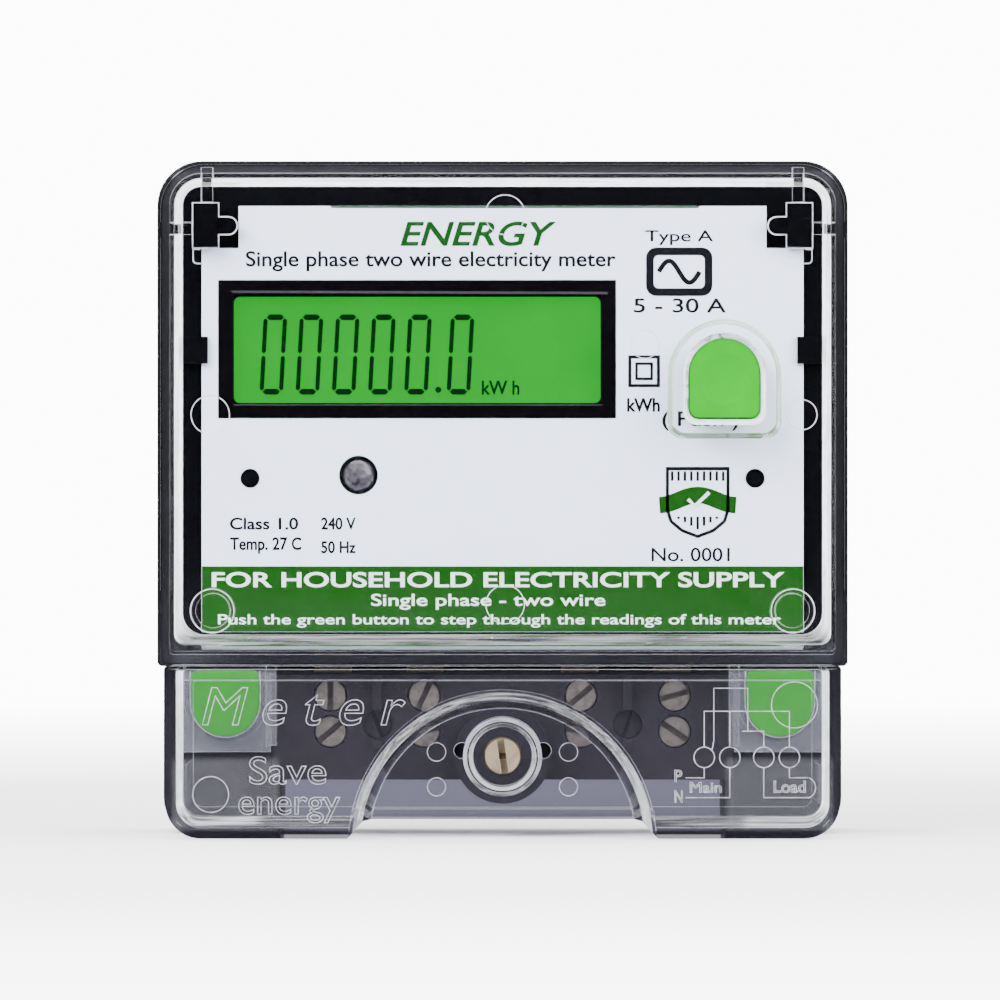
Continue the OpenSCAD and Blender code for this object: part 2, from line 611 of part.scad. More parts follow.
module shunt_strip() color([0.6, 0.45, 0.35])
    difference() {
        bar(terminal_x[0] - 3, terminal_x[1] + 3, brass_back + 1.65, brass_back + 3.2, -21.8, -17.6);
        bar(terminal_x[0] + 5.2, terminal_x[1] - 5.2, brass_back + 1, brass_back + 4, -22, -20.6);
    }

module neutral_link() color([0.8, 0.5, 0.32])
    bar(terminal_x[2] - 3, terminal_x[3] + 3, brass_back + 1.65, brass_back + 3.2, -15.4, -11.8);

module current_transformer() color([0.12, 0.2, 0.5])
    translate([pair_x - 3.4, 0, 0]) difference() {
        x_rod(0, 6.8, bore_y, -13.6, 7.6);
        x_rod(-cut, 6.8 + cut, bore_y, -13.6, 4.2);
    }

// Leads as lists of points: x, depth from the wall plane, z.
function lead(p) = [for (q = p) [q[0], -q[1], q[2]]];
lead_end = 22.9;
red_route = lead([[-27, 14.8, -19.6], [-27, 15.8, -19.6], [-26.4, 16.8, -19.4], [-24, 17.4, -18.9], [-19, 17.6, -18],
                  [-12, 17, -16.4], [-7, 16.6, -14.2], [-4.6, 17.4, -12.8], [-4, 19, -12.5], [-4, lead_end, -12.5]]);
black_route = lead([[-12.5, 14.8, -19.6], [-12.5, 15.8, -19.6], [-11.6, 16.8, -19.4], [-8, 17.2, -18.6],
                    [-3, 16.8, -17], [-0.6, 16.6, -14.6], [0, 17.4, -12.9], [0, 19, -12.5], [0, lead_end, -12.5]]);
white_route = lead([[12.4, 14.8, -13.6], [12.4, 15.8, -13.6], [11.6, 16.6, -13.4], [9, 16.6, -13], [6, 16.6, -12.7],
                    [4.5, 17.3, -12.5], [4, 19, -12.5], [4, lead_end, -12.5]]);

module shunt_lead_red() color([0.75, 0.08, 0.06]) sweep(red_route, 0.65);
module shunt_lead_black() color([0.06, 0.06, 0.06]) sweep(black_route, 0.65);
module neutral_lead() color([0.9, 0.9, 0.88]) sweep(white_route, 0.65);

// ---------- rail latch ----------
module rail_latch() color([0.14, 0.14, 0.15])
    difference() {
        union() {
            slab_yz([[latch_front, -15.4], [1.9, -18.2], [1.6, -19], [1.6, latch_foot + 1.5],
                     [latch_front, latch_foot + 1.5]], -11.1, 11.1);
            bar(-9, 9, 0.25, 1.7, latch_foot, -20);
            bar(-9, 9, 0.25, latch_front, latch_foot, latch_foot + 1.6);
        }
        bar(-3.2, 3.2, 1.5, 6, spring_foot - 6.4, spring_top);
        bar(-3, 3, -cut, 6, latch_foot + 0.9, latch_foot + 2.4);
    }

// Profile in depth and height, drawn from x0 to x1.
module slab_yz(points, x0, x1)
    translate([x0, 0, 0]) rotate([90, 0, 90]) linear_extrude(x1 - x0) polygon([for (p = points) [-p[0], p[1]]]);

module latch_spring() color([0.8, 0.8, 0.82])
    translate([0, -3.3, spring_foot]) coil_spring(1.3, 0.2, spring_top - spring_foot, 8);

// ---------- assembly ----------
base_housing();
top_cover();
cover_gasket();
cover_screws();
seal_plug(-1);  // seal_plug_left
seal_plug(1);  // seal_plug_right
terminal_cover();
sealing_screw();
sealing_insert();
push_button();
button_spring();
dial_frame();
nameplate();
display_bezel();
lcd_glass();
lcd_backlight();
lcd_pins();
pulse_led();
tact_switch();
main_board();
board_screws();
microcontroller();
metering_chip();
crystal();
electrolytic_capacitors();
film_capacitor();
varistor();
optocoupler();
backup_cell();
resistor_bank();
board_connector();
terminal_block();
block_screws();
for (i = [0 : 3]) {
    brass_terminal(i);
    clamp_screw(i, 0);
    clamp_screw(i, 1);
}
shunt_strip();
neutral_link();
current_transformer();
shunt_lead_red();
shunt_lead_black();
neutral_lead();
rail_latch();
latch_spring();
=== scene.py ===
import json
import math

import bmesh
import bpy
from mathutils import Matrix, Vector

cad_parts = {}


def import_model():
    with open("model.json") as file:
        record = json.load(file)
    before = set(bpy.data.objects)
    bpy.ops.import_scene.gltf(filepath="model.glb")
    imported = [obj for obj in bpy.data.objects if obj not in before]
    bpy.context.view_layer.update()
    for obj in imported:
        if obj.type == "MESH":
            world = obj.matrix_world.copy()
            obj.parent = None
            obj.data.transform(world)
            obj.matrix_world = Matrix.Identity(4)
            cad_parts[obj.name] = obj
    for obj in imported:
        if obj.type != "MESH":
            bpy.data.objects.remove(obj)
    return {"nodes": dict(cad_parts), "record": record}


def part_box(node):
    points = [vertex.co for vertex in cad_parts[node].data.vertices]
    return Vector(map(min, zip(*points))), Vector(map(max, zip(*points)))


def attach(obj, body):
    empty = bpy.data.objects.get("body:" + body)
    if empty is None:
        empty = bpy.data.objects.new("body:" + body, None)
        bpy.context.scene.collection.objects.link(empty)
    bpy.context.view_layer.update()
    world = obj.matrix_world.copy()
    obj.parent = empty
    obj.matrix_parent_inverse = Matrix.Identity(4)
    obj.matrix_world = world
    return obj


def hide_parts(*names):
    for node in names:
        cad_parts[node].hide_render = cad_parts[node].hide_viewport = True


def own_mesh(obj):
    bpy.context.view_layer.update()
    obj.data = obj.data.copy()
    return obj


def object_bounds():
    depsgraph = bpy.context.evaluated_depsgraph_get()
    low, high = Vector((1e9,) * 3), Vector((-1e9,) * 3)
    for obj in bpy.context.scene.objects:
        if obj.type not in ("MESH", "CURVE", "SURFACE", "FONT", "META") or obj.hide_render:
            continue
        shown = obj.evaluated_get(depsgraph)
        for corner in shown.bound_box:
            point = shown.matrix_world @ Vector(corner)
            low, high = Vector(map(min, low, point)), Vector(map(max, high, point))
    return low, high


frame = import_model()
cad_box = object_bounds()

MM = 0.001
CASE = "meter_case"
COVER = "terminal_cover"


# ---------------------------------------------------------------- shader helpers
class Shader:
    """A material under construction: makes nodes and links them in one call."""

    def __init__(self, name):
        self.material = bpy.data.materials.new(name)
        self.material.use_nodes = True
        self.tree = self.material.node_tree
        self.principled = self.tree.nodes["Principled BSDF"]
        self.output = self.tree.nodes["Material Output"]
        self.coordinates = self.add("ShaderNodeTexCoord").outputs["Object"]

    def add(self, kind, links=(), **values):
        """A node of that kind; links maps input names or numbers to sockets, values sets its properties."""
        node = self.tree.nodes.new(kind)
        for key, value in values.items():
            setattr(node, key, value)
        for key, source in dict(links).items():
            if isinstance(source, bpy.types.NodeSocket):
                self.tree.links.new(source, node.inputs[key])
            else:
                node.inputs[key].default_value = source
        return node

    def set(self, **sockets):
        """Sets the main shader's sockets: a number, a colour or another node's output."""
        for key, value in sockets.items():
            socket = self.principled.inputs[key.replace("_", " ")]
            if isinstance(value, bpy.types.NodeSocket):
                self.tree.links.new(value, socket)
            else:
                socket.default_value = rgba(value) if isinstance(value, tuple) else value

    def stretched(self, scale):
        """The object's coordinates, stretched by a different scale on each axis."""
        return self.add("ShaderNodeMapping", {"Vector": self.coordinates, "Scale": scale}).outputs[0]

    def noise(self, size, detail=3.0, vector=None, rough=0.55):
        """Noise whose blotches are about size metres wide, from 0 to 1."""
        vector = vector or self.coordinates
        links = {"Vector": vector, "Scale": 1 / size, "Detail": detail, "Roughness": rough}
        return self.add("ShaderNodeTexNoise", links).outputs["Fac"]

    def ramp(self, factor, stops):
        """Colour ramp with (place, colour) stops."""
        node = self.add("ShaderNodeValToRGB", {"Fac": factor})
        band = node.color_ramp.elements
        band[0].position, band[0].color = stops[0][0], rgba(stops[0][1])
        band[1].position, band[1].color = stops[-1][0], rgba(stops[-1][1])
        for place, colour in stops[1:-1]:
            band.new(place).color = rgba(colour)
        return node.outputs["Color"]

    def spread(self, factor, low, high, start=0.3, end=0.7):
        """Maps factor from start..end to low..high."""
        links = {"Value": factor, "From Min": start, "From Max": end, "To Min": low, "To Max": high}
        return self.add("ShaderNodeMapRange", links).outputs["Result"]

    def maths(self, operation, a, b=0.0):
        return self.add("ShaderNodeMath", {0: a, 1: b}, operation=operation).outputs[0]

    def product(self, *factors):
        """All the factors multiplied."""
        result = factors[0]
        for factor in factors[1:]:
            result = self.maths("MULTIPLY", result, factor)
        return result

    def blend(self, factor, a, b):
        """Colour a where factor is 0, colour b where it is 1."""
        node = self.add("ShaderNodeMix", data_type="RGBA")
        for key, value in ((0, factor), (6, a), (7, b)):
            if isinstance(value, bpy.types.NodeSocket):
                self.tree.links.new(value, node.inputs[key])
            else:
                node.inputs[key].default_value = value if key == 0 else rgba(value)
        return node.outputs[2]

    def bump(self, height, depth, normal=None):
        """Bumps of that depth in metres."""
        links = {"Height": height, "Distance": depth, "Strength": 1.0}
        if normal:
            links["Normal"] = normal
        return self.add("ShaderNodeBump", links).outputs[0]

    def rounded(self, radius):
        """Normal with edges rounded to that radius."""
        return self.add("ShaderNodeBevel", {"Radius": radius}, samples=4).outputs[0]

    def edges(self, radius):
        """1 within radius of a sharp edge, 0 elsewhere."""
        true = self.add("ShaderNodeNewGeometry").outputs["True Normal"]
        dot = self.add("ShaderNodeVectorMath", {0: self.rounded(radius), 1: true}, operation="DOT_PRODUCT")
        return self.spread(self.maths("SUBTRACT", 1.0, dot.outputs["Value"]), 0.0, 1.0, 0.02, 0.25)


def rgba(colour):
    return (*colour, 1.0) if len(colour) == 3 else tuple(colour)


def shade(colour, factor):
    """The colour made lighter or darker."""
    return tuple(min(1.0, c * factor) for c in colour[:3])


# ---------------------------------------------------------------- materials
def moulded(name, colour, rough=0.45, grain=0.16 * MM, depth=0.006 * MM, wear=0.25, shine=0.4):
    """Moulded plastic: fine spark-eroded grain, uneven gloss, slightly paler worn edges."""
    s = Shader(name)
    edge = 0.12 * MM
    worn = s.edges(edge * 2)
    blotch = s.noise(14 * MM, 4)
    base = s.ramp(blotch, [(0.3, shade(colour, 0.86)), (0.7, shade(colour, 1.12))])
    pale = tuple(c * 2 + 0.02 for c in colour[:3])
    speck = s.noise(0.5 * MM, 2)
    base = s.blend(s.product(worn, s.spread(speck, 0.0, wear, 0.35, 0.65)), base, pale)
    gloss = s.spread(s.noise(6 * MM, 5), rough - 0.06, rough + 0.08)
    grainy = s.bump(s.noise(grain, 2, rough=0.7), depth, s.rounded(edge))
    s.set(Base_Color=base, Roughness=gloss, Normal=grainy, Specular_IOR_Level=shine)
    return s.material


def printed_sheet(name, colour):
    """Satin polycarbonate sheet: near-white, with a faint mottle and a few tiny specks."""
    s = Shader(name)
    cloud = s.noise(22 * MM, 3)
    base = s.ramp(cloud, [(0.3, shade(colour, 0.975)), (0.7, shade(colour, 1.01))])
    fleck = s.noise(0.35 * MM, 1)
    base = s.blend(s.spread(fleck, 0.0, 0.35, 0.78, 0.84), base, (0.55, 0.56, 0.6))
    s.set(Base_Color=base, Roughness=s.spread(s.noise(4 * MM, 4), 0.36, 0.46), Specular_IOR_Level=0.35,
          Normal=s.bump(s.noise(0.12 * MM, 2), 0.002 * MM, s.rounded(0.1 * MM)))
    return s.material


def ink(name, colour, rough=0.35, shine=0.2):
    """Screen-printed ink: slightly uneven cover."""
    s = Shader(name)
    base = s.ramp(s.noise(0.25 * MM, 3), [(0.25, shade(colour, 0.8)), (0.75, shade(colour, 1.15))])
    s.set(Base_Color=base, Roughness=s.spread(s.noise(0.6 * MM, 2), rough - 0.05, rough + 0.1),
          Normal=s.bump(s.noise(0.1 * MM, 2), 0.004 * MM), Specular_IOR_Level=shine)
    return s.material


FACES_DOWN = (-0.6, -0.2)              # the normal's Z where a slope fully faces down, and where it starts to
RIB_X, RIB_Z = 46.2 * MM, 42.3 * MM    # middle lines of the ribs that run to the corner hooks


def painted_light_shader(s, upward, painted_underside_lightness):
    """Painted light on clear plastic: white, a painted reflection of the bright surroundings, where upward is
    1, and streaky grey painted shade of lightness painted_underside_lightness where it is 0.
    """
    dark, light = (0.1 * painted_underside_lightness, 0.1 * painted_underside_lightness, 0.11 * painted_underside_lightness), (0.8 * painted_underside_lightness, 0.81 * painted_underside_lightness, 0.84 * painted_underside_lightness)
    white = s.ramp(s.noise(2 * MM, 3), [(0.3, (0.6, 0.61, 0.66)), (0.7, (0.88, 0.89, 0.95))])
    grey = s.ramp(s.noise(0.5 * MM, 3, s.stretched((0.03, 1, 0.4))), [(0.4, dark), (0.62, light)])
    base = s.blend(upward, grey, white)
    links = {"Base Color": base, "Roughness": 0.35, "Transmission Weight": 0.15}
    return s.add("ShaderNodeBsdfPrincipled", links).outputs[0]


def clear(name, tint, lamp_tint, front, rim, haze_top, haze, painted_underside_lightness=1.0, middle=1.0, ribs=1.0, smoke=1.0):
    """Clear moulded polycarbonate. On the slopes further forward than front, a band of painted light stands
    in for the reflection of the bright surroundings, and painted highlights whiten the edges inside of rim.
    Haze is how milky, with that painted light, both sides are below haze_top, and painted_underside_lightness
    how light the painted shade on slopes that face down is. Middle is how much of the painted band is left in
    the middle, ribs how much where the ribs of the corner hooks cross it, and smoke how much light the
    outermost rim lets through."""
    s = Shader(name)
    place = s.add("ShaderNodeSeparateXYZ", {0: s.coordinates}).outputs
    side = s.maths("ABSOLUTE", place["X"])
    wide = s.maths("MAXIMUM", side, s.maths("ABSOLUTE", place["Z"]))
    s.set(Base_Color=s.blend(s.spread(wide, 0.0, 1.0, rim - 1 * MM, rim), rgba(tint), shade(tint, smoke)),
          Transmission_Weight=1.0, IOR=1.5, Normal=s.bump(s.noise(9 * MM, 2), 0.02 * MM),
          Roughness=s.spread(s.noise(3 * MM, 5), 0.03, 0.06, 0.4, 0.75))

    normal = s.add("ShaderNodeNewGeometry").outputs["True Normal"]
    facing = s.add("ShaderNodeSeparateXYZ", {0: normal}).outputs
    slope = s.maths("ABSOLUTE", facing["Y"])
    sloped = s.product(s.spread(slope, 0.0, 1.0, 0.3, 0.45), s.spread(slope, 1.0, 0.0, 0.8, 0.95))
    streak = s.spread(s.noise(0.5 * MM, 3, s.stretched((0.03, 1, 0.03))), 0.45, 1.0, 0.35, 0.6)
    forward = s.spread(place["Y"], 1.0, 0.0, -front - 0.1 * MM, -front)
    down = s.spread(facing["Z"], 0.85, 1.0, *FACES_DOWN)
    centre = s.spread(side, middle, 1.0, 37 * MM, 39 * MM)
    off_rib = s.maths("MINIMUM", s.maths("ABSOLUTE", s.maths("SUBTRACT", side, RIB_X)),
                      s.maths("ABSOLUTE", s.maths("SUBTRACT", place["Z"], RIB_Z)))
    lower_half = s.spread(place["Z"], 1.0, ribs, 0.0, 1 * MM)
    crossing = s.maths("MAXIMUM", s.spread(off_rib, ribs, 1.0, 0.72 * MM, 0.82 * MM), lower_half)
    # Painted reflection of the bright surroundings: a streaky white band on the forward slopes, less in the
    # middle and where the hook ribs cross
    band = s.product(sloped, streak, forward, down, centre, crossing, 0.9)

    inside = s.spread(wide, 1.0, 0.0, rim - 0.3 * MM, rim)
    # Painted highlight along the edges inside the rim
    edge = s.product(s.edges(0.2 * MM), inside, 0.5)
    milky = s.product(s.spread(place["Z"], haze, 0.0, haze_top - 1 * MM, haze_top), inside,
                      s.spread(side, 0.0, 1.0, 34.5 * MM, 35.5 * MM))
    painted_whiteness = s.maths("MAXIMUM", band, s.maths("MAXIMUM", edge, milky))
    # Painted light: white where a surface faces up, grey painted shade where it faces down
    painted_light = painted_light_shader(s, s.spread(facing["Z"], 0.0, 1.0, *FACES_DOWN), painted_underside_lightness)
    body = s.add("ShaderNodeMixShader", {0: painted_whiteness, 1: s.principled.outputs[0], 2: painted_light})
    unlit = s.add("ShaderNodeBsdfTransparent", {"Color": rgba(lamp_tint)})
    shadow = s.add("ShaderNodeLightPath").outputs["Is Shadow Ray"]
    lamps = s.add("ShaderNodeMixShader", {0: shadow, 1: body.outputs[0], 2: unlit.outputs[0]})
    s.tree.links.new(lamps.outputs[0], s.output.inputs["Surface"])
    return s.material


def metal(name, colour, rough=0.3, lines=(1, 1, 14), dirt_and_shade=0.35):
    """Machined or plated metal: fine tool marks along one way, with dull grime in patches, and painted shade
    that darkens slots and recesses.
    """
    s = Shader(name)
    marks = s.noise(0.12 * MM, 3, s.stretched(lines))
    grime = s.noise(1.6 * MM, 4)
    base = s.ramp(marks, [(0.3, shade(colour, 0.72)), (0.7, shade(colour, 1.12))])
    # Dull patches of grime; dirt_and_shade sets how many, and on the clamp screws they also stand in as
    # painted shade
    base = s.blend(s.spread(grime, 0.0, dirt_and_shade, 0.45, 0.75), base, shade(colour, 0.42))
    # Painted shade: ambient occlusion darkens the metal in slots and recesses
    painted_recess_shade = s.add("ShaderNodeAmbientOcclusion", {"Distance": 1.3 * MM}, only_local=True, samples=4)
    base = s.blend(s.spread(painted_recess_shade.outputs["AO"], 0.85, 0.0, 0.35, 0.85), base, shade(colour, 0.12))
    s.set(Base_Color=base, Metallic=1.0, Roughness=s.spread(grime, rough, rough + 0.18),
          Normal=s.bump(marks, 0.006 * MM, s.rounded(0.1 * MM)))
    return s.material


def lit_display(name, colour):
    """Backlit liquid-crystal display: even green glow, a shade brighter and darker in broad uneven patches.
    """
    s = Shader(name)
    glow = s.ramp(s.noise(16 * MM, 2), [(0.3, shade(colour, 0.92)), (0.7, shade(colour, 1.06))])
    s.set(Base_Color=shade(colour, 0.06), Emission_Color=glow, Emission_Strength=1.0, Roughness=0.3,
          Specular_IOR_Level=0.05, Normal=s.bump(s.noise(0.2 * MM, 1), 0.001 * MM))
    return s.material


def engraving_white(name):
    """Frosted walls of engraved strokes in clear plastic."""
    s = Shader(name)
    base = s.ramp(s.noise(0.8 * MM, 4), [(0.3, (0.14, 0.14, 0.16)), (0.7, (0.42, 0.42, 0.46))])
    s.set(Base_Color=base, Roughness=0.3, Transmission_Weight=0.25, IOR=1.5,
          Normal=s.bump(s.noise(0.15 * MM, 2), 0.01 * MM))
    return s.material


def edge_highlight_material(name, colour):
    """Painted highlight on the edge of a clear rib: streaky light grey."""
    s = Shader(name)
    base = s.ramp(s.noise(1.2 * MM, 4), [(0.3, shade(colour, 0.6)), (0.7, shade(colour, 1.5))])
    s.set(Base_Color=base, Roughness=s.spread(s.noise(0.5 * MM), 0.25, 0.4), Transmission_Weight=0.2, IOR=1.5)
    return s.material


def lamp_lens(name):
    """Clear epoxy dome over a dark lead frame: grey, with dark and bright blotches."""
    s = Shader(name)
    greys = [(0.36, (0.016, 0.012, 0.018)), (0.52, (0.07, 0.064, 0.072)), (0.68, (0.19, 0.18, 0.2))]
    s.set(Base_Color=s.ramp(s.noise(2.1 * MM, 2), greys), Roughness=s.spread(s.noise(0.9 * MM), 0.08, 0.16),
          Transmission_Weight=0.2, IOR=1.5, Normal=s.bump(s.noise(1.6 * MM, 2), 0.05 * MM))
    return s.material


def board(name, colour):
    """Solder mask over copper: tracks as slightly raised, paler lanes."""
    s = Shader(name)
    links = {"Vector": s.coordinates, "Scale": 260.0, "Distortion": 6.0, "Detail": 1.0, "Detail Scale": 0.4}
    lanes = s.add("ShaderNodeTexWave", links, bands_direction="X").outputs["Fac"]
    base = s.ramp(lanes, [(0.45, shade(colour, 0.75)), (0.55, shade(colour, 1.35))])
    s.set(Base_Color=base, Roughness=s.spread(s.noise(5 * MM), 0.22, 0.34), Normal=s.bump(lanes, 0.02 * MM))
    return s.material


def sleeve(name, colour, rough=0.25):
    """Shrink sleeve or dipped lacquer: glossy, with soft waves."""
    s = Shader(name)
    base = s.ramp(s.noise(5 * MM, 3), [(0.3, shade(colour, 0.8)), (0.7, shade(colour, 1.2))])
    s.set(Base_Color=base, Roughness=s.spread(s.noise(3 * MM), rough, rough + 0.12), Coat_Weight=0.3,
          Normal=s.bump(s.noise(1.5 * MM, 2), 0.03 * MM, s.rounded(0.15 * MM)))
    return s.material


COARSE, FLAT = 0.45 * MM, 0.004 * MM             # wide, shallow grain of a moulded surface
LOOKS = {
    "black_case": moulded("case_black", (0.0078, 0.0066, 0.01), 0.45, COARSE, FLAT, shine=0.04),
    "clear_cover": clear("clear_polycarbonate", (0.985, 0.99, 1.0), (0.985, 0.99, 1.0), front=46.1 * MM,
                         rim=52.2 * MM, haze_top=-26.5 * MM, haze=0.15, painted_underside_lightness=0.45, ribs=0.0, smoke=0.64),
    "gasket": moulded("gasket_rubber", (0.012, 0.012, 0.015), 0.7, wear=0.1, shine=0.2),
    "steel": metal("zinc_plated_steel", (0.62, 0.62, 0.63)),
    "green_plug": moulded("plug_green", (0.034, 0.35, 0.027), 0.4, depth=0.003 * MM, wear=0.15, shine=0.15),
    "smoked_cover": clear("smoked_polycarbonate", (0.55, 0.54, 0.585), (0.9, 0.9, 0.92), front=41.2 * MM,
                          rim=51.9 * MM, haze_top=-40 * MM, haze=0.025, middle=0.42),
    "pale_brass": metal("washed_brass", (0.56, 0.46, 0.31), 0.34, (14, 1, 1), dirt_and_shade=0.6),
    "brass": metal("drawn_brass", (0.78, 0.57, 0.26), 0.32),
    "green_button": moulded("button_green", (0.0005, 0.19, 0.001), 0.36, 0.4 * MM, FLAT, 0.08, 0.08),
    "spring_steel": metal("spring_wire", (0.6, 0.6, 0.62)),
    "black_frame": moulded("frame_black", (0.001, 0.001, 0.0016), 0.3, wear=0.1, shine=0.02),
    "white_plate": printed_sheet("plate_white", (0.77, 0.825, 0.97)),
    "black_bezel": moulded("bezel_black", (0.0009, 0.0006, 0.0012), 0.28, wear=0.1, shine=0.02),
    "display": lit_display("display_green", (0.0, 0.53, 0.026)),
    "light_guide": sleeve("light_guide", (0.7, 0.85, 0.7)),
    "tinned_wire": metal("tinned_wire", (0.7, 0.7, 0.7)),
    "led_lens": lamp_lens("lamp_epoxy"),
    "chip_black": moulded("chip_epoxy", (0.02, 0.02, 0.022), 0.55),
    "board_green": board("solder_mask", (0.02, 0.16, 0.06)),
    "can_steel": metal("drawn_can", (0.66, 0.66, 0.68), 0.2),
    "capacitor_sleeve": sleeve("capacitor_sleeve", (0.02, 0.03, 0.1)),
    "film_yellow": sleeve("film_yellow", (0.75, 0.5, 0.04)),
    "varistor_blue": sleeve("varistor_blue", (0.02, 0.08, 0.35)),
    "cell_wrap": sleeve("cell_wrap", (0.03, 0.2, 0.08)),
    "resistor_tan": sleeve("resistor_lacquer", (0.55, 0.42, 0.25), 0.35),
    "connector_white": moulded("connector_nylon", (0.75, 0.72, 0.62), 0.4),
    "block_black": moulded("block_black", (0.0195, 0.0165, 0.0205), 0.48, COARSE, FLAT, shine=0.15),
    # Dark colour and strong dull patches: nickel grime, and painted shade of the wells that the clamp screws
    # sit in
    "plated_screw": metal("nickel_plated", (0.3, 0.27, 0.22), 0.42, (14, 1, 1), dirt_and_shade=0.85),
    "black_screw": metal("blackened_steel", (0.05, 0.05, 0.055), 0.45),
    "shunt_alloy": metal("shunt_alloy", (0.55, 0.4, 0.3)),
    "copper": metal("tinned_copper", (0.72, 0.42, 0.26)),
    "core_blue": sleeve("core_tape", (0.02, 0.05, 0.28)),
    "wire_red": sleeve("insulation_red", (0.45, 0.02, 0.015), 0.4),
    "wire_black": sleeve("insulation_black", (0.02, 0.02, 0.02), 0.4),
    "wire_white": sleeve("insulation_white", (0.75, 0.75, 0.72), 0.4),
    "latch_black": moulded("latch_black", (0.012, 0.012, 0.014), 0.4, shine=0.1),
    "ink_black": ink("ink_black", (0.002, 0.002, 0.0035), shine=0.1),
    "ink_green": ink("ink_green", (0.003, 0.043, 0.0012), shine=0.1),
    "ink_title": ink("ink_title", (0.002, 0.045, 0.003), shine=0.1),
    "ink_white": ink("ink_white", (0.7, 0.78, 0.78)),
    "segment": ink("segment_dark", (0.0006, 0.01, 0.0015), 0.3, shine=0.02),
    "engraving": engraving_white("engraved_strokes"),
    "painted_bezel_highlight": moulded("painted_bezel_highlight", (0.012, 0.01, 0.014), 0.4),
    "edge_highlight": edge_highlight_material("painted_edge_highlight", (0.5, 0.51, 0.56)),
}
for row in frame["record"]["subparts"]:
    slots = frame["nodes"][row["node"]].data.materials
    slots.clear()
    slots.append(LOOKS[row["material_slot"]])


# ---------------------------------------------------------------- mesh helpers
def piece(name, parts, look, body):
    """Joins meshes into one piece that rides on a body."""
    mesh = bpy.data.meshes.new(name)
    whole = bmesh.new()
    for part in parts:
        whole.from_mesh(part)
        bpy.data.meshes.remove(part)
    whole.to_mesh(mesh)
    whole.free()
    mesh.materials.append(LOOKS[look])
    thing = bpy.data.objects.new(name, mesh)
    bpy.context.collection.objects.link(thing)
    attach(thing, body)
    return thing


def evaluated(data, matrix):
    """A curve's final mesh, moved by a matrix."""
    holder = bpy.data.objects.new("holder", data)
    bpy.context.collection.objects.link(holder)
    bpy.context.view_layer.update()
    mesh = bpy.data.meshes.new_from_object(holder.evaluated_get(bpy.context.evaluated_depsgraph_get()))
    bpy.data.objects.remove(holder)
    bpy.data.curves.remove(data)
    mesh.transform(matrix)
    return mesh


FACING = Matrix.Rotation(math.radians(90), 4, "X")     # turns the XY plane to face -Y, up along Z


def text_curve(text, bold, slant, outline):
    """Text of no set size, without its faces when only the outline is wanted."""
    font = bpy.data.curves.new("text", "FONT")
    font.body, font.offset, font.shear = text, bold, slant
    if outline:
        font.fill_mode = "NONE"
    return font


def lettering(text, x0, x1, z0, z1, y, thick=0.04, bold=0.0, slant=0.0, outline=0.0):
    """Text fitted into the box x0..x1, z0..z1 (mm), standing proud of the plane y (mm).
    With outline, only the letters' edges, as tubes of that radius."""
    mesh = evaluated(text_curve(text, bold, slant, outline), Matrix())
    xs = [v.co.x for v in mesh.vertices]
    ys = [v.co.y for v in mesh.vertices]
    wide, tall = max(xs) - min(xs), max(ys) - min(ys)
    grow = ((x1 - x0) * MM / wide, (z1 - z0) * MM / tall)
    bpy.data.meshes.remove(mesh)
    mean = (grow[0] + grow[1]) / 2
    font = text_curve(text, bold, slant, outline)
    if outline:
        font.bevel_depth = outline * MM / mean
        font.bevel_resolution = 1
        depth, forward = mean, 0
    else:
        font.extrude = 0.5
        depth, forward = thick * MM, thick / 2
    fit = Matrix.Diagonal((*grow, depth, 1))
    back = Matrix.Translation((-min(xs), -min(ys), 0))
    place = Matrix.Translation((x0 * MM, (y - forward) * MM, z0 * MM))
    return evaluated(font, place @ FACING @ fit @ back)


def heavy(text, x0, x1, z0, z1, y, swell, slant=0.0):
    """Text as in lettering, with tubes of radius swell (mm) along its edges for a heavier stroke."""
    return [lettering(text, x0, x1, z0, z1, y, slant=slant),
            lettering(text, x0, x1, z0, z1, y, slant=slant, outline=swell)]


def plate(points, y, thick=0.04, holes=()):
    """Flat solid with a front outline of (x, z) points in mm, its back on the plane y."""
    curve = bpy.data.curves.new("plate", "CURVE")
    curve.dimensions, curve.fill_mode = "2D", "BOTH"
    curve.extrude = thick / 2 * MM
    for loop in (points, *holes):
        spline = curve.splines.new("POLY")
        spline.points.add(len(loop) - 1)
        for point, (x, z) in zip(spline.points, loop):
            point.co = (x * MM, z * MM, 0, 1)
        spline.use_cyclic_u = True
    return evaluated(curve, Matrix.Translation((0, (y - thick / 2) * MM, 0)) @ FACING)


def wire(points, y, radius, closed=False, sides=1):
    """Tube along (x, z) points in mm, centred on the plane y."""
    curve = bpy.data.curves.new("wire", "CURVE")
    curve.dimensions = "3D"
    curve.bevel_depth, curve.bevel_resolution = radius * MM, sides
    curve.use_fill_caps = True
    spline = curve.splines.new("POLY")
    spline.points.add(len(points) - 1)
    for point, (x, z) in zip(spline.points, points):
        point.co = (x * MM, y * MM, z * MM, 1)
    spline.use_cyclic_u = closed
    return evaluated(curve, Matrix())


def arc(cx, cz, r, start, end, steps=24):
    """Points on an arc, angles in degrees."""
    turn = [math.radians(start + (end - start) * i / steps) for i in range(steps + 1)]
    return [(cx + r * math.cos(a), cz + r * math.sin(a)) for a in turn]


def ring(cx, cz, r, y, radius=0.07):
    return wire(arc(cx, cz, r, 0, 352.5, 47), y, radius, closed=True)


def rectangle(x0, x1, z0, z1, r=0.0):
    if not r:
        return [(x0, z0), (x1, z0), (x1, z1), (x0, z1)]
    corners = ((x1 - r, z1 - r, 0), (x0 + r, z1 - r, 90), (x0 + r, z0 + r, 180), (x1 - r, z0 + r, 270))
    return [p for x, z, a in corners for p in arc(x, z, r, a, a + 90, 6)]


